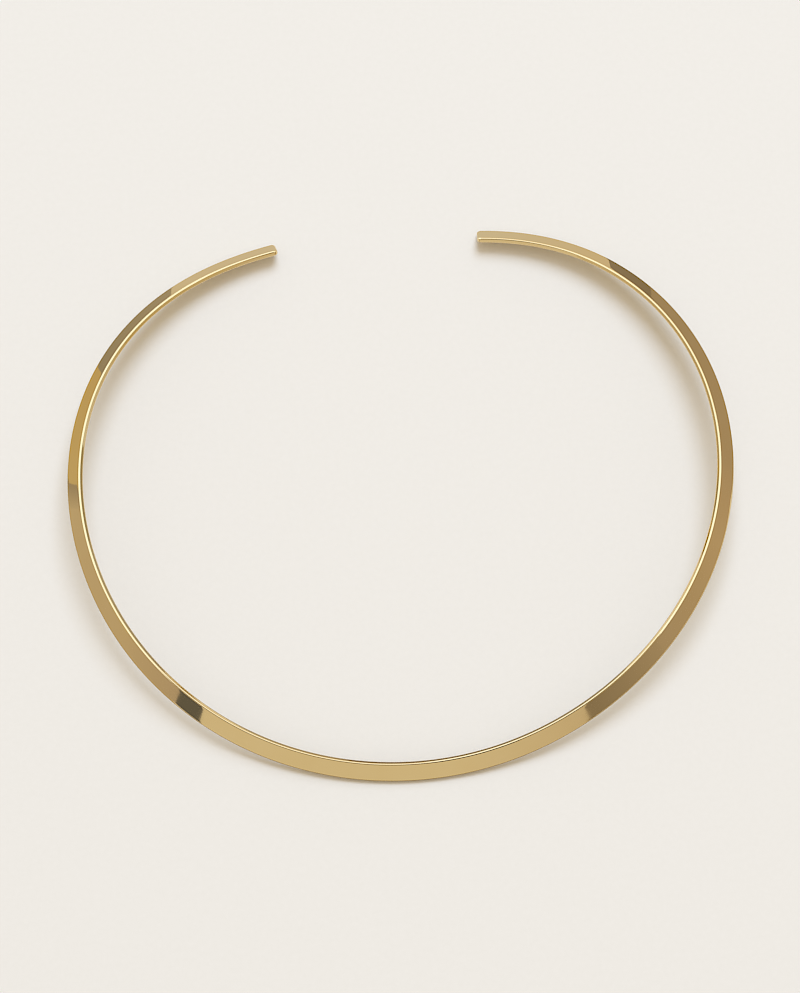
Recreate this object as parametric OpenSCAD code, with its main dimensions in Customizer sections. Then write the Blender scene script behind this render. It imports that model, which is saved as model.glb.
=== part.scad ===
// Open rigid collar necklace: one flat bar bent once round the neck, with a gap at the back.
// The bar leans outwards, so its broad face looks out and up, and its sides arch up off the
// surface that its front and its two ends lie on. It is bent by hand, so its two halves
// differ a little.
// X runs across the collar, -Y is the front, +Y the open back and +Z is up.
// A turn is measured round the oval from the middle of the front, and is more than 0 on
// the right, at +X.

/* [Collar] */
// Width across the two sides, at a turn of 90 degrees
collar_w = 136; // [110:1:160]
// Reach of the front from the line of that width, to the bar's centre line
front_reach = 59.4; // [50:0.1:72]
// Reach that the oval would have at the back if it were closed, to the bar's centre line
back_reach = 56.9; // [46:0.1:70]
// Fullness of the oval between its sides and its front and back; less than 0 is leaner
fullness = -0.52; // [-2:0.02:2]
// Fullness of the two shoulders of the front, which makes the front itself flatter
shoulders = 0.16; // [-1:0.02:1]
// Turn from the middle of the front to the left end, in degrees
left_turn = 157.9; // [140:0.1:170]
// Turn from the middle of the front to the right end, in degrees
right_turn = 160; // [140:0.1:170]
// Height by which each side arches up between the front and its end
side_rise = 7.5; // [0:0.5:12]

/* [Bar] */
// Width of the flat bar, along its broad face
bar_w = 4.2; // [3:0.1:8]
// Thickness of the flat bar
bar_t = 1.1; // [1:0.05:2]
// Lean of the broad face from the horizontal, in degrees
lean = 46; // [20:1:65]
// Radius along the bar's four long corners
corner_r = 0.3; // [0.1:0.05:0.45]
// Radius that rounds off each end of the bar
end_r = 0.4; // [0.2:0.05:0.4]

/* [Hand bending] */
// How late the left arch is highest on its way from the front to the end; 1 is half way
left_lag = 1.3; // [0.8:0.05:1.6]
// How late the right arch is highest
right_lag = 1.05; // [0.8:0.05:1.6]
// Length by which the oval is drawn askew; 0 is a true oval
skew = -0.55; // [-2:0.05:2]
// Degrees by which the left side leans more than the middle, and the right side less
twist = 3.2; // [-8:0.1:8]
// Length by which the last stretch before the right end is drawn in towards the neck
right_draw = 1.35; // [0:0.05:3]

/* [Fineness] */
// Cross sections along the bar
sections = 160; // [80:2:200]
// Facets round each long corner
corner_steps = 4; // [2:1:6]
// Cross sections through the rounding of each end
end_steps = 4; // [2:1:6]

/* [Hidden] */

// Smallest corner radius left where the rounded end closes in
least_r = 0.05;
// Turn at which the right end starts to be drawn in
draw_turn = 133;
// Turn between the bar and each of the two points that give its direction
look_turn = 0.5;

// How far the leaning section reaches out from its own centre at the sides
reach_w = (bar_w / 2 - corner_r) * cos(lean);
reach_t = (bar_t / 2 - corner_r) * sin(lean);
side_reach = collar_w / 2 - reach_w - reach_t - corner_r;

// Terms of the oval, whose radius is a sum of waves round the turn
mean_reach = (front_reach + back_reach) / 2;
round_term = (side_reach + mean_reach) / 2 - fullness;
oval_term = (mean_reach - side_reach) / 2;
egg_term = (front_reach - back_reach) / 2;

// Drawing in of the right end, growing from nothing to the whole length at its tip
function drawn_in(turn) = right_draw * pow(max(turn - draw_turn, 0) / (right_turn - draw_turn), 2);

function oval_r(turn) =
    round_term + oval_term * cos(2 * turn) + egg_term * cos(3 * turn)
    + fullness * cos(4 * turn) + shoulders * (cos(5 * turn) - cos(turn))
    + skew * sin(2 * turn) - drawn_in(turn);

function end_turn(turn) = turn < 0 ? left_turn : right_turn;

// Arch of each side: none at the front and at the end, the whole rise between them
function arch_z(turn) =
    let (lag = turn < 0 ? left_lag : right_lag)
    side_rise * pow(sin(180 * pow(abs(turn / end_turn(turn)), lag)), 2);

function bar_point(turn) =
    [oval_r(turn) * sin(turn), -oval_r(turn) * cos(turn), arch_z(turn)];

function unit(v) = v / norm(v);

function bar_run(turn) = unit(bar_point(turn + look_turn) - bar_point(turn - look_turn));

function bar_out(turn) = unit(cross(bar_run(turn), [0, 0, 1]));

function bar_up(turn) = cross(bar_out(turn), bar_run(turn));

function lean_at(turn) = lean - twist * sin(turn);

// Down and out across the broad face
function across(turn) = cos(lean_at(turn)) * bar_out(turn) - sin(lean_at(turn)) * bar_up(turn);

// Out of the broad face, up and away from the neck
function face_normal(turn) =
    sin(lean_at(turn)) * bar_out(turn) + cos(lean_at(turn)) * bar_up(turn);

// Outline of the flat bar, drawn in by the rounding at an end
function outline(inset) =
    let (r = max(corner_r - inset, least_r))
    let (half_w = bar_w / 2 - inset - r)
    let (half_t = bar_t / 2 - inset - r)
    [
        for (quarter = [0:3])
        for (step = [0:corner_steps])
        let (a = 90 * (quarter + step / corner_steps))
        let (side_w = quarter == 0 || quarter == 3 ? 1 : -1)
        let (side_t = quarter < 2 ? 1 : -1)
        [side_w * half_w + r * cos(a), side_t * half_t + r * sin(a)]
    ];

function section(turn, inset) = [
    for (p = outline(inset))
    bar_point(turn) + p[0] * across(turn) + p[1] * face_normal(turn)
];

// Rounding of one end, from the full section to its tip: turn and inset of each section
function end_rows(last_turn) = [
    for (step = [0:end_steps])
    let (a = 90 * step / end_steps)
    let (length = end_r * (1 - sin(a)))
    let (turn = length * 180 / (PI * oval_r(last_turn)))
    [last_turn - sign(last_turn) * turn, end_r * (1 - cos(a))]
];
left_rows = end_rows(-left_turn);
right_rows = end_rows(right_turn);
first_full = left_rows[0][0];
last_full = right_rows[0][0];

// Turn and inset of every section, from the left end round the front to the right end
rows = concat(
    [for (step = [end_steps:-1:1]) left_rows[step]],
    [for (i = [0:sections]) [first_full + (last_full - first_full) * i / sections, 0]],
    [for (step = [1:end_steps]) right_rows[step]]
);

points = [for (row = rows) each section(row[0], row[1])];
ring = 4 * (corner_steps + 1);
last = len(rows) - 1;

skin = [
    for (i = [0:last - 1])
    for (k = [0:ring - 1])
    let (a = i * ring + k)
    let (b = i * ring + (k + 1) % ring)
    each [[a, b + ring, a + ring], [a, b, b + ring]]
];
left_cap = [[for (k = [ring - 1:-1:0]) k]];
right_cap = [[for (k = [0:ring - 1]) last * ring + k]];

// The collar stands on its lowest points, with its outline centred on the origin
x_mid = (min([for (p = points) p[0]]) + max([for (p = points) p[0]])) / 2;
y_mid = (min([for (p = points) p[1]]) + max([for (p = points) p[1]])) / 2;
z_low = min([for (p = points) p[2]]);

module collar_band() {
    color("goldenrod")
    translate([-x_mid, -y_mid, -z_low])
    polyhedron(points, concat(skin, left_cap, right_cap), convexity = 6);
}

collar_band();
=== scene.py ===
import math
import bpy
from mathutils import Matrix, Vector


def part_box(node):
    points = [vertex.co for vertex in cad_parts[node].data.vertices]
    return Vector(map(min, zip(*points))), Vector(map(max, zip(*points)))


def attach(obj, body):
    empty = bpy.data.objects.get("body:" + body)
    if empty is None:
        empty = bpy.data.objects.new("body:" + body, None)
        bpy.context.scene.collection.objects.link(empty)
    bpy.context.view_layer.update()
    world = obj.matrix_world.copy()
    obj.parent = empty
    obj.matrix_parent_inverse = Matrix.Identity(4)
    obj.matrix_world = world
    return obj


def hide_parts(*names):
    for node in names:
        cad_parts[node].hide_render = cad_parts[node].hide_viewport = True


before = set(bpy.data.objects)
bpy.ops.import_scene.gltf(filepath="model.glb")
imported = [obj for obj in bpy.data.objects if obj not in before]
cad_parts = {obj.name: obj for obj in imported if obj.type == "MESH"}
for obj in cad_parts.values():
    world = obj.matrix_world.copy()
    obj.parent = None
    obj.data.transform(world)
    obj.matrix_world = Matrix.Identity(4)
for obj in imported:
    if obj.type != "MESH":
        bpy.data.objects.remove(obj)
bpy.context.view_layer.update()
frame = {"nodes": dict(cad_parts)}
print("frame loaded:", ", ".join(frame["nodes"]))

mm = 0.001
scene = bpy.context.scene


def sinDeg(angle):
    return math.sin(math.radians(angle))


def cosDeg(angle):
    return math.cos(math.radians(angle))


# The bar of the collar
# The same sizes as the solid, in mm and degrees, with many more sections. A turn is measured
# round the oval from the middle of the front, and is more than 0 on the right.
bandSizes = {
    "width": 136,  # across the two sides
    "frontReach": 59.4,  # from the line of that width to the middle of the bar
    "backReach": 56.9,
    "fullness": -0.52,  # less than 0 is leaner between the sides and the front
    "shoulders": 0.16,  # more makes the front flatter
    "leftTurn": 157.9,  # turns of the two ends
    "rightTurn": 160,
    "sideRise": 7.5,  # height to which each side arches up
    "leftLag": 1.3,  # how late the arch is highest, 1 is half way
    "rightLag": 1.05,
    "barWidth": 4.2,
    "barThickness": 1.1,
    "lean": 46,  # of the broad face from the horizontal
    "cornerRadius": 0.3,
    "lowerCornerRadius": 0.4,
    "leastRadius": 0.05,  # of a corner at the very tip
    "endRadiusAcross": 0.9,
    "endRadiusThrough": 0.4,
    "skew": -0.55,  # length by which the oval is drawn askew
    "twist": 3.2,  # the left side leans more and the right side less
    "rightDraw": 1.35,  # the last stretch on the right is drawn in
    "drawTurn": 133,
    "lookTurn": 0.5,  # to the two points that give the bar its direction
    "sections": 1000,
    "cornerSteps": 10,
    "faceSteps": 8,
    "edgeSteps": 4,
    "endSteps": 10,
    "mapLength": 100,  # length of bar for each 1 of its texture map
}


def endTurn(turn):
    return bandSizes["leftTurn"] if turn < 0 else bandSizes["rightTurn"]


def leanAt(turn):
    return bandSizes["lean"] - bandSizes["twist"] * sinDeg(turn)


sectionReach = (
    (bandSizes["barWidth"] / 2 - bandSizes["cornerRadius"]) * cosDeg(bandSizes["lean"])
    + (bandSizes["barThickness"] / 2 - bandSizes["cornerRadius"]) * sinDeg(bandSizes["lean"])
    + bandSizes["cornerRadius"]
)
sideReach = bandSizes["width"] / 2 - sectionReach
meanReach = (bandSizes["frontReach"] + bandSizes["backReach"]) / 2


def ovalRadius(turn):
    drawLength = bandSizes["rightTurn"] - bandSizes["drawTurn"]
    drawnIn = bandSizes["rightDraw"] * (max(turn - bandSizes["drawTurn"], 0) / drawLength) ** 2
    return (
        (sideReach + meanReach) / 2 - bandSizes["fullness"]
        + (meanReach - sideReach) / 2 * cosDeg(2 * turn)
        + (bandSizes["frontReach"] - bandSizes["backReach"]) / 2 * cosDeg(3 * turn)
        + bandSizes["fullness"] * cosDeg(4 * turn)
        + bandSizes["shoulders"] * (cosDeg(5 * turn) - cosDeg(turn))
        + bandSizes["skew"] * sinDeg(2 * turn)
        - drawnIn
    )


def barPoint(turn):
    radius = ovalRadius(turn)
    lag = bandSizes["leftLag"] if turn < 0 else bandSizes["rightLag"]
    rise = bandSizes["sideRise"] * sinDeg(180 * abs(turn / endTurn(turn)) ** lag) ** 2
    return Vector((radius * sinDeg(turn), -radius * cosDeg(turn), rise))


def barAxes(turn):
    # across runs down and out over the broad face, outOfFace stands square to it
    look = bandSizes["lookTurn"]
    run = (barPoint(turn + look) - barPoint(turn - look)).normalized()
    outward = run.cross(Vector((0, 0, 1))).normalized()
    upward = outward.cross(run)
    lean = leanAt(turn)
    across = cosDeg(lean) * outward - sinDeg(lean) * upward
    outOfFace = sinDeg(lean) * outward + cosDeg(lean) * upward
    return across, outOfFace


def barOutline(closing):
    # rounded rectangle, anticlockwise from the lower outer corner, with steps on its flats too;
    # closing goes from 0 on the bar to 1 at the very tip
    corners = [(1, 1), (-1, 1), (-1, -1), (1, -1)]
    inset = bandSizes["endRadiusThrough"] * closing
    halfWidth = bandSizes["barWidth"] / 2 - bandSizes["endRadiusAcross"] * closing
    halfThickness = bandSizes["barThickness"] / 2 - inset

    def cornerPoint(quarter, share):
        plainRadius = bandSizes["lowerCornerRadius" if quarter % 4 == 0 else "cornerRadius"]
        radius = max(plainRadius - inset, bandSizes["leastRadius"])
        sideW, sideT = corners[quarter % 4]
        angle = 90 * (quarter + share)
        return (
            sideW * (halfWidth - radius) + radius * cosDeg(angle),
            sideT * (halfThickness - radius) + radius * sinDeg(angle),
        )

    points = []
    for quarter in range(4):
        for step in range(bandSizes["cornerSteps"] + 1):
            points.append(cornerPoint(quarter, step / bandSizes["cornerSteps"]))
        last = points[-1]
        first = cornerPoint(quarter + 1, 0)
        flatSteps = bandSizes["faceSteps" if quarter % 2 == 0 else "edgeSteps"]
        for step in range(1, flatSteps):
            share = step / flatSteps
            points.append((
                last[0] + (first[0] - last[0]) * share,
                last[1] + (first[1] - last[1]) * share,
            ))
    return points


def endRows(lastTurn):
    # turn and closing of each section of a rounded end, from the full section to the tip
    rows = []
    for step in range(bandSizes["endSteps"] + 1):
        angle = 90 * step / bandSizes["endSteps"]
        length = bandSizes["endRadiusAcross"] * (1 - sinDeg(angle))
        turn = math.degrees(length / ovalRadius(lastTurn))
        rows.append((lastTurn - math.copysign(turn, lastTurn), 1 - cosDeg(angle)))
    return rows


def bandRows():
    leftRows = endRows(-bandSizes["leftTurn"])
    rightRows = endRows(bandSizes["rightTurn"])
    first, last = leftRows[0][0], rightRows[0][0]
    count = bandSizes["sections"]
    middleRows = [(first + (last - first) * i / count, 0) for i in range(count + 1)]
    return leftRows[:0:-1] + middleRows + rightRows[1:]


def bandPoints(rows):
    points = []
    for turn, closing in rows:
        centre = barPoint(turn)
        across, outOfFace = barAxes(turn)
        for w, t in barOutline(closing):
            points.append(centre + w * across + t * outOfFace)

    # set down on the surface and centred, as the solid is
    low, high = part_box("collar_band")
    ownLow = Vector([min(p[k] for p in points) for k in range(3)])
    ownHigh = Vector([max(p[k] for p in points) for k in range(3)])
    shift = (low + high) / 2 - (ownLow + ownHigh) / 2 * mm
    shift.z = low.z - ownLow.z * mm
    return [p * mm + shift for p in points]


def bandFaces(rows, ring):
    faces = []
    for i in range(len(rows) - 1):
        for k in range(ring):
            a, b = i * ring + k, i * ring + (k + 1) % ring
            faces.append((a, b, b + ring, a + ring))
    lastRing = (len(rows) - 1) * ring
    faces.append(tuple(range(ring - 1, -1, -1)))
    faces.append(tuple(range(lastRing, lastRing + ring)))
    return faces


def mapBand(mesh, rows, outline):
    # the map runs along the bar and round its section at the same scale
    ring = len(outline)
    girth = [0]
    for k in range(ring):
        girth.append(girth[-1] + math.dist(outline[k], outline[(k + 1) % ring]))
    lengths = [0]
    for (turnA, _), (turnB, _) in zip(rows, rows[1:]):
        lengths.append(lengths[-1] + (barPoint(turnB) - barPoint(turnA)).length)
    places = []
    for i in range(len(rows) - 1):
        for k in range(ring):
            places += [(i, k), (i, k + 1), (i + 1, k + 1), (i + 1, k)]
    for along in (0, len(rows) - 1):
        places += [(along, k) for k in range(ring)]
    layer = mesh.uv_layers.new(name="alongBar")
    scale = bandSizes["mapLength"]
    for loop, (along, around) in enumerate(places):
        layer.data[loop].uv = (lengths[along] / scale, girth[around] / scale)


def makeBand():
    rows = bandRows()
    outline = barOutline(0)
    mesh = bpy.data.meshes.new("collarBand")
    points = [tuple(p) for p in bandPoints(rows)]
    mesh.from_pydata(points, [], bandFaces(rows, len(outline)))
    mesh.update()
    mapBand(mesh, rows, outline)
    mesh.shade_smooth()
    band = bpy.data.objects.new("collarBand", mesh)
    scene.collection.objects.link(band)
    return band


def tintByNoise(tree, shader, look):
    # a noise that mixes two near colours, for the gold and for the floor
    nodes, links = tree.nodes, tree.links
    place = nodes.new("ShaderNodeTexCoord")
    noise = nodes.new("ShaderNodeTexNoise")
    noise.inputs["Scale"].default_value = 1 / (look["grainSize"] * mm)
    noise.inputs["Detail"].default_value = look["grainDetail"]
    links.new(place.outputs["Object"], noise.inputs["Vector"])
    tint = nodes.new("ShaderNodeMix")
    tint.data_type = "RGBA"
    tint.inputs["A"].default_value = (*look["colour"], 1)
    tint.inputs["B"].default_value = (*look["grainColour"], 1)
    links.new(noise.outputs["Fac"], tint.inputs["Factor"])
    links.new(tint.outputs["Result"], shader.inputs["Base Color"])
    return noise


# Polished gold
goldFinish = {
    "colour": (0.85, 0.67, 0.38),
    "grainColour": (0.82, 0.63, 0.33),
    "grainSize": 6.25,  # mm
    "grainDetail": 2,
    "roughness": 0.06,
    "smudge": 0.02,  # by which the roughness comes and goes
    "smudgeRange": (0.3, 0.7),  # the part of the noise that it follows
}


def makeGold():
    gold = bpy.data.materials.new("polishedGold")
    gold.use_nodes = True
    nodes, links = gold.node_tree.nodes, gold.node_tree.links
    shader = nodes["Principled BSDF"]
    shader.inputs["Metallic"].default_value = 1
    noise = tintByNoise(gold.node_tree, shader, goldFinish)
    gloss = nodes.new("ShaderNodeMapRange")
    gloss.inputs["From Min"].default_value = goldFinish["smudgeRange"][0]
    gloss.inputs["From Max"].default_value = goldFinish["smudgeRange"][1]
    gloss.inputs["To Min"].default_value = goldFinish["roughness"] - goldFinish["smudge"]
    gloss.inputs["To Max"].default_value = goldFinish["roughness"] + goldFinish["smudge"]
    links.new(noise.outputs["Fac"], gloss.inputs["Value"])
    links.new(gloss.outputs["Result"], shader.inputs["Roughness"])
    return gold


band = makeBand()
band.data.materials.append(makeGold())
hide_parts("collar_band")
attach(band, "root")
print("collar band made:", len(band.data.vertices), "points")

# The floor
paperFloor = {
    "halfSize": 3000,
    "colour": (0.80, 0.80, 0.785),
    "grainColour": (0.825, 0.825, 0.815),
    "grainSize": 1.2,  # mm
    "grainDetail": 3,
}


def makeFloor():
    half = paperFloor["halfSize"] * mm
    corners = [(-half, -half, 0), (half, -half, 0), (half, half, 0), (-half, half, 0)]
    mesh = bpy.data.meshes.new("paperFloor")
    mesh.from_pydata(corners, [], [(0, 1, 2, 3)])
    paper = bpy.data.materials.new("mattePaper")
    paper.use_nodes = True
    shader = paper.node_tree.nodes["Principled BSDF"]
    tintByNoise(paper.node_tree, shader, paperFloor)
    shader.inputs["Roughness"].default_value = 1
    shader.inputs["Specular IOR Level"].default_value = 0
    mesh.materials.append(paper)
    floor = bpy.data.objects.new("paperFloor", mesh)
    scene.collection.objects.link(floor)


makeFloor()
print("floor made")


def direction(azimuth, height):
    # azimuth 0 looks to the front and 90 to the right, height is above the horizon
    return Vector((
        sinDeg(azimuth) * cosDeg(height),
        -cosDeg(azimuth) * cosDeg(height),
        sinDeg(height),
    ))


# Light: a soft warm room, with a broad lamp and a larger main lamp, both from behind
roomLight = {
    "colour": (1, 0.84, 0.62),
    "strength": 0.66,
}
softBoxes = [
    {"name": "overheadBox", "azimuth": 165, "height": 72, "distance": 2, "size": 1.5,
     "power": 4.5, "colour": (1, 1, 1)},
    {"name": "mainBox", "azimuth": 165, "height": 55, "distance": 5, "size": 3.4,
     "power": 130, "colour": (0.83, 1, 1.25)},
]


def makeRoom():
    world = bpy.data.worlds.new("softRoom")
    world.use_nodes = True
    background = world.node_tree.nodes["Background"]
    background.inputs["Color"].default_value = (*roomLight["colour"], 1)
    background.inputs["Strength"].default_value = roomLight["strength"]
    scene.world = world


def makeSoftBoxes():
    for box in softBoxes:
        lamp = bpy.data.lights.new(box["name"], "AREA")
        lamp.shape = "DISK"
        lamp.size = box["size"]
        lamp.energy = box["power"]
        lamp.color = box["colour"]
        light = bpy.data.objects.new(box["name"], lamp)
        towards = direction(box["azimuth"], box["height"])
        light.location = towards * box["distance"]
        light.rotation_mode = "QUATERNION"
        light.rotation_quaternion = towards.to_track_quat("Z", "Y")
        light.visible_glossy = False  # the cards below stand in for it in the polish
        scene.collection.objects.link(light)


makeRoom()
makeSoftBoxes()
print("room and lamps set")

# Glowing cards that only the polish sees, though they are no lamps: painted reflections of a room,
# with painted highlights for the lamps and painted dark patches and shade. A wall card spans
# azimuths; its heights and its colour go evenly from those of its first edge to those of its last.
cardSizes = {
    "roomDistance": 1200,
    "wallSteps": 24,  # squares along a wall card
    "wallRows": 8,
    "groundSteps": 48,  # squares round a ground card
    "groundRows": 6,
    "groundLift": 0.15,  # above the floor
}
# tones of the painted reflections; the bluish one brighter than white paints the highlights
paleTone = (0.72, 0.67, 0.55)
paintedHighlightTone = (1.3, 1.44, 1.66)
softTone = (0.95, 0.84, 0.66)
darkTone = (0.135, 0.135, 0.135)
wallCards = [
    {"name": "frontWall", "azimuths": (-42.3, 8), "heights": (-2, 28), "endHeights": (-2, 28),
     "colour": paleTone, "endColour": paleTone},
    {"name": "frontRightWall", "azimuths": (8, 31.2), "heights": (-2, 28), "endHeights": (-2, 28),
     "colour": paleTone, "endColour": (0.63, 0.56, 0.45)},
    {"name": "rightDarkWall", "azimuths": (31.2, 52.6), "heights": (-2, 18), "endHeights": (-2, 17),
     "colour": (0.27, 0.23, 0.18), "endColour": (0.41, 0.35, 0.28)},
    {"name": "rightWall", "azimuths": (52.6, 83), "heights": (-2, 17), "endHeights": (-2, 11),
     "colour": (0.43, 0.365, 0.29), "endColour": (0.51, 0.42, 0.31)},
    {"name": "rightFarWall", "azimuths": (83, 120), "heights": (-2, 11), "endHeights": (-2, 2),
     "colour": (0.51, 0.42, 0.31), "endColour": (0.42, 0.34, 0.27)},
    {"name": "rightUpperWall", "azimuths": (31.2, 80), "heights": (18, 28), "endHeights": (11.5, 28),
     "colour": (0.64, 0.56, 0.39), "endColour": (0.56, 0.46, 0.27)},
    {"name": "rightPaleWall", "azimuths": (80, 104), "heights": (11.5, 28), "endHeights": (5.9, 20),
     "colour": (0.56, 0.46, 0.27), "endColour": (0.72, 0.71, 0.67)},
    {"name": "rightBrownWall", "azimuths": (104, 116), "heights": (5.9, 20), "endHeights": (3, 15),
     "colour": (0.38, 0.33, 0.24), "endColour": (0.41, 0.38, 0.33)},
    {"name": "backRightWall", "azimuths": (116, 146), "heights": (2, 15), "endHeights": (-2, 8),
     "colour": (0.50, 0.48, 0.45), "endColour": (0.38, 0.38, 0.40)},
    {"name": "darkCard", "azimuths": (-48.7, -42.3), "heights": (-2, 11), "endHeights": (-2, 11),
     "colour": darkTone, "endColour": darkTone},
    {"name": "leftWall", "azimuths": (-67, -48.7), "heights": (-3, 5), "endHeights": (-3, 11),
     "colour": (0.55, 0.476, 0.372), "endColour": (0.49, 0.42, 0.35)},
    {"name": "leftUpperWall", "azimuths": (-67, -42.3), "heights": (5, 18), "endHeights": (11, 28),
     "colour": (0.62, 0.54, 0.38), "endColour": (0.66, 0.60, 0.45)},
    {"name": "leftFarWall", "azimuths": (-124, -67), "heights": (-3, 6), "endHeights": (-3, 18),
     "colour": (0.50, 0.45, 0.35), "endColour": (0.60, 0.53, 0.38)},
    # painted shade: dark cards above on the camera side, for the dark lines along the rounded
    # corners; the tip cards paint the gold seen in the inner edge at the two ends
    {"name": "shadeCard", "azimuths": (-48, 5), "heights": (28, 76), "endHeights": (33, 84),
     "colour": (0.42, 0.36, 0.27), "endColour": (0.26, 0.21, 0.15)},
    {"name": "rightTipCard", "azimuths": (-48, 5), "heights": (28, 28.1), "endHeights": (28, 33),
     "colour": (0.62, 0.52, 0.32), "endColour": (0.64, 0.56, 0.40)},
    {"name": "deepShadeCard", "azimuths": (5, 17), "heights": (28, 84), "endHeights": (28, 83),
     "colour": (0.06, 0.05, 0.04), "endColour": (0.06, 0.05, 0.04)},
    {"name": "leftTipCard", "azimuths": (17, 52), "heights": (28, 43), "endHeights": (28, 38),
     "colour": (0.62, 0.51, 0.31), "endColour": (0.70, 0.62, 0.43)},
    {"name": "deepSideCard", "azimuths": (17, 29), "heights": (43, 83), "endHeights": (41, 81),
     "colour": (0.05, 0.04, 0.03), "endColour": (0.07, 0.06, 0.04)},
    {"name": "sideShadeCard", "azimuths": (29, 52), "heights": (41, 81), "endHeights": (38, 76),
     "colour": (0.34, 0.28, 0.19), "endColour": (0.40, 0.34, 0.24)},
    # painted highlights: cards brighter than white that stand in for the lamps in the polish
    {"name": "rightRoof", "azimuths": (52, 104), "heights": (28, 76), "endHeights": (20, 76),
     "colour": paintedHighlightTone, "endColour": paintedHighlightTone},
    {"name": "backRoof", "azimuths": (104, 120), "heights": (20, 76), "endHeights": (14, 76),
     "colour": paintedHighlightTone, "endColour": paintedHighlightTone},
    {"name": "softRoof", "azimuths": (120, 180), "heights": (14, 47), "endHeights": (4, 47),
     "colour": softTone, "endColour": softTone},
    {"name": "highRoof", "azimuths": (120, 180), "heights": (47, 76), "endHeights": (47, 76),
     "colour": paintedHighlightTone, "endColour": paintedHighlightTone},
    {"name": "farRoof", "azimuths": (180, 236), "heights": (5, 76), "endHeights": (5, 76),
     "colour": paintedHighlightTone, "endColour": paintedHighlightTone},
    {"name": "leftRoof", "azimuths": (-124, -67), "heights": (6, 76), "endHeights": (18, 76),
     "colour": paintedHighlightTone, "endColour": paintedHighlightTone},
    {"name": "frontLeftRoof", "azimuths": (-67, -48), "heights": (18, 76), "endHeights": (26, 76),
     "colour": paintedHighlightTone, "endColour": paintedHighlightTone},
    {"name": "topRoof", "azimuths": (52, 312), "heights": (76, 90), "endHeights": (76, 90),
     "colour": paintedHighlightTone, "endColour": paintedHighlightTone},
    {"name": "topFrontRoof", "azimuths": (-48, 52), "heights": (84, 90), "endHeights": (84, 90),
     "colour": paintedHighlightTone, "endColour": paintedHighlightTone},
]

# A ground card lies round the outside of the bar or, with a reach below 0, inside it. Its tones
# are painted reflections of the floor.
groundCards = [
    {"name": "rightEndGround", "turns": (138.8, 166), "reaches": (3, 400),
     "colour": (0.67, 0.60, 0.47), "endColour": (0.69, 0.68, 0.64)},
    {"name": "leftEndGround", "turns": (-166, -139.8), "reaches": (3, 400),
     "colour": (0.69, 0.66, 0.60), "endColour": (0.68, 0.63, 0.52)},
    # painted shadow: the floor beside the bar as the bar's shade darkens it, seen in the lower
    # rounded corner
    {"name": "nearShadowGround", "turns": (-122, 128), "reaches": (-3.6, 8),
     "colour": (0.42, 0.36, 0.26), "endColour": (0.36, 0.30, 0.22)},
    {"name": "rightGround", "turns": (95, 130.9), "reaches": (3, 1150),
     "colour": (0.45, 0.37, 0.28), "endColour": (0.40, 0.335, 0.25)},
    {"name": "rightDarkGround", "turns": (130.9, 138.8), "reaches": (3, 1150),
     "colour": (0.27, 0.23, 0.18), "endColour": (0.29, 0.25, 0.20)},
    {"name": "leftGround", "turns": (-96.5, -50), "reaches": (3, 1150),
     "colour": (0.57, 0.50, 0.39), "endColour": (0.55, 0.476, 0.372)},
    {"name": "leftGreyGround", "turns": (-101.2, -96.5), "reaches": (3, 1150),
     "colour": (0.36, 0.32, 0.27), "endColour": (0.54, 0.48, 0.38)},
    {"name": "leftGoldGround", "turns": (-122.1, -101.2), "reaches": (3, 1150),
     "colour": (0.58, 0.46, 0.24), "endColour": (0.60, 0.50, 0.29)},
    {"name": "leftOliveGround", "turns": (-139.8, -122.1), "reaches": (3, 1150),
     "colour": (0.40, 0.36, 0.29), "endColour": (0.34, 0.31, 0.25)},
    {"name": "innerFrontGround", "turns": (-18, 70), "reaches": (-57, -10),
     "colour": (0.30, 0.26, 0.25), "endColour": (0.40, 0.39, 0.38)},
    {"name": "innerLeftGround", "turns": (-80, -18), "reaches": (-57, -10),
     "colour": (0.50, 0.48, 0.45), "endColour": (0.45, 0.41, 0.37)},
]


def showOnlyToPolish(name, points, faces, colours):
    mesh = bpy.data.meshes.new(name)
    mesh.from_pydata([tuple(p) for p in points], [], faces)
    layer = mesh.color_attributes.new("tone", "FLOAT_COLOR", "POINT")
    for i, colour in enumerate(colours):
        layer.data[i].color = (*colour, 1)
    tone = bpy.data.materials.new(name + "Tone")
    tone.use_nodes = True
    nodes, links = tone.node_tree.nodes, tone.node_tree.links
    nodes.remove(nodes["Principled BSDF"])
    # emission that paints a reflection on the gold; the card is no lamp and lights nothing
    glow = nodes.new("ShaderNodeEmission")
    source = nodes.new("ShaderNodeAttribute")
    source.attribute_name = "tone"
    links.new(source.outputs["Color"], glow.inputs["Color"])
    links.new(glow.outputs["Emission"], nodes["Material Output"].inputs["Surface"])
    tone.cycles.emission_sampling = "NONE"
    mesh.materials.append(tone)
    card = bpy.data.objects.new(name, mesh)
    scene.collection.objects.link(card)
    card.visible_camera = False
    card.visible_diffuse = False
    card.visible_shadow = False
    card.visible_transmission = False
    card.visible_volume_scatter = False


def between(first, last, share):
    return first + (last - first) * share


def mixed(card, share):
    return [between(a, b, share) for a, b in zip(card["colour"], card["endColour"])]


def grid(across, along):
    # faces of a sheet of across by along squares
    faces = []
    for j in range(along):
        for i in range(across):
            a = j * (across + 1) + i
            faces.append((a, a + 1, a + across + 2, a + across + 1))
    return faces


def makeWallCards():
    steps, rows = cardSizes["wallSteps"], cardSizes["wallRows"]
    distance = cardSizes["roomDistance"] * mm
    for card in wallCards:
        points, colours = [], []
        for j in range(rows + 1):
            for i in range(steps + 1):
                low = between(card["heights"][0], card["endHeights"][0], i / steps)
                high = between(card["heights"][1], card["endHeights"][1], i / steps)
                azimuth = between(*card["azimuths"], i / steps)
                points.append(direction(azimuth, between(low, high, j / rows)) * distance)
                colours.append(mixed(card, i / steps))
        showOnlyToPolish(card["name"], points, grid(steps, rows), colours)


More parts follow.
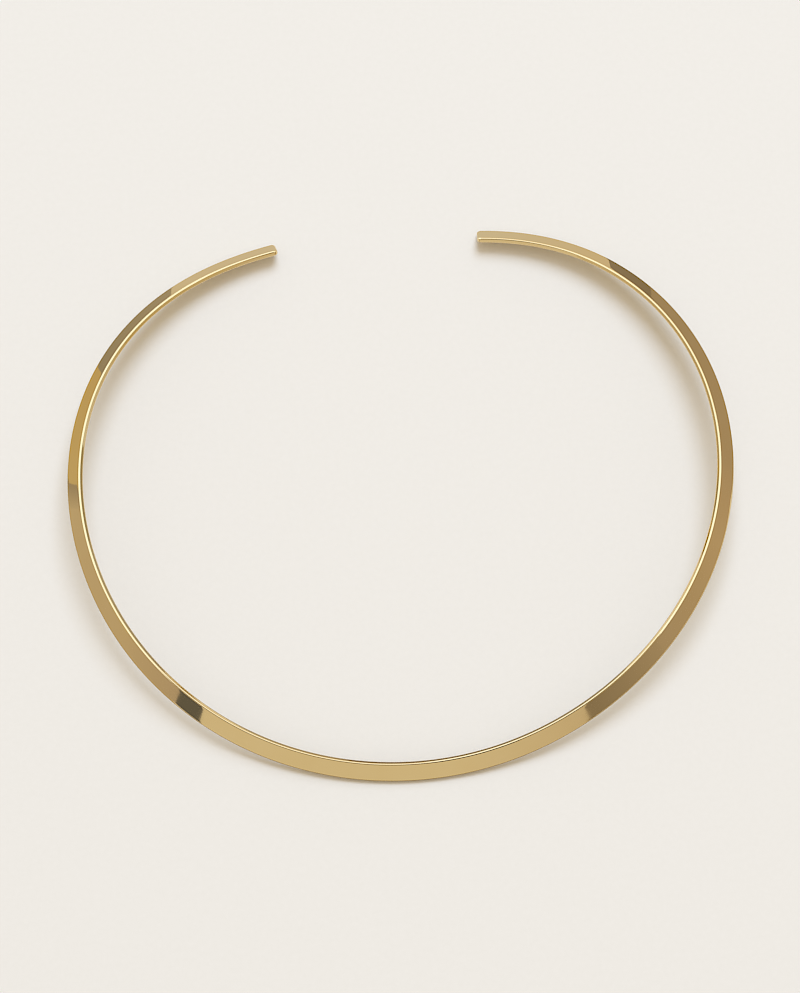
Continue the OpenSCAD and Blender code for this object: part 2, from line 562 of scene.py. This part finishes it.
def makeGroundCards():
    steps, rows = cardSizes["groundSteps"], cardSizes["groundRows"]
    low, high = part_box("collar_band")
    middle = (low + high) / 2
    for card in groundCards:
        points, colours = [], []
        for j in range(rows + 1):
            reach = between(*card["reaches"], (j / rows) ** 3)  # squares grow away from the bar
            for i in range(steps + 1):
                turn = between(*card["turns"], i / steps)
                radius = ovalRadius(turn) + bandSizes["barWidth"] / 2 + reach
                points.append(Vector((
                    middle.x + radius * sinDeg(turn) * mm,
                    middle.y - radius * cosDeg(turn) * mm,
                    cardSizes["groundLift"] * mm,
                )))
                colours.append(mixed(card, i / steps))
        showOnlyToPolish(card["name"], points, grid(steps, rows), colours)


# The camera, for a picture of 800 by 993
cameraSet = {
    "azimuth": -4.15,
    "height": 72,
    "distance": 800,
    "target": (-0.463, 1.018, 1.746),
    "pixelsPerMm": 4.872,
    "longSide": 993,  # of the picture, in pixels
    "sensor": 36,
    "clip": (0.05, 20),  # metres
}


def makeCamera():
    lens = bpy.data.cameras.new("camera")
    lens.sensor_width = cameraSet["sensor"]
    lens.sensor_fit = "AUTO"
    focus = cameraSet["pixelsPerMm"] * cameraSet["distance"]
    lens.lens = focus * cameraSet["sensor"] / cameraSet["longSide"]
    lens.clip_start, lens.clip_end = cameraSet["clip"]
    camera = bpy.data.objects.new("camera", lens)
    back = direction(cameraSet["azimuth"], cameraSet["height"])
    camera.location = Vector(cameraSet["target"]) * mm + back * cameraSet["distance"] * mm
    camera.rotation_mode = "QUATERNION"
    camera.rotation_quaternion = (-back).to_track_quat("-Z", "Y")
    scene.collection.objects.link(camera)
    scene.camera = camera


makeCamera()
makeWallCards()
makeGroundCards()
print("camera and cards set")

# The picture
pictureLook = {
    "transform": "Standard",
    "look": "None",
    "sharpening": 0.06,  # mild, as in a photo
}


def finishPicture():
    scene.view_settings.view_transform = pictureLook["transform"]
    scene.view_settings.look = pictureLook["look"]
    scene.use_nodes = True
    nodes, links = scene.node_tree.nodes, scene.node_tree.links
    nodes.clear()
    picture = nodes.new("CompositorNodeRLayers")
    sharpen = nodes.new("CompositorNodeFilter")
    sharpen.filter_type = "SHARPEN"
    sharpen.inputs["Fac"].default_value = pictureLook["sharpening"]
    result = nodes.new("CompositorNodeComposite")
    links.new(picture.outputs["Image"], sharpen.inputs["Image"])
    links.new(sharpen.outputs["Image"], result.inputs["Image"])


finishPicture()
print("picture set")
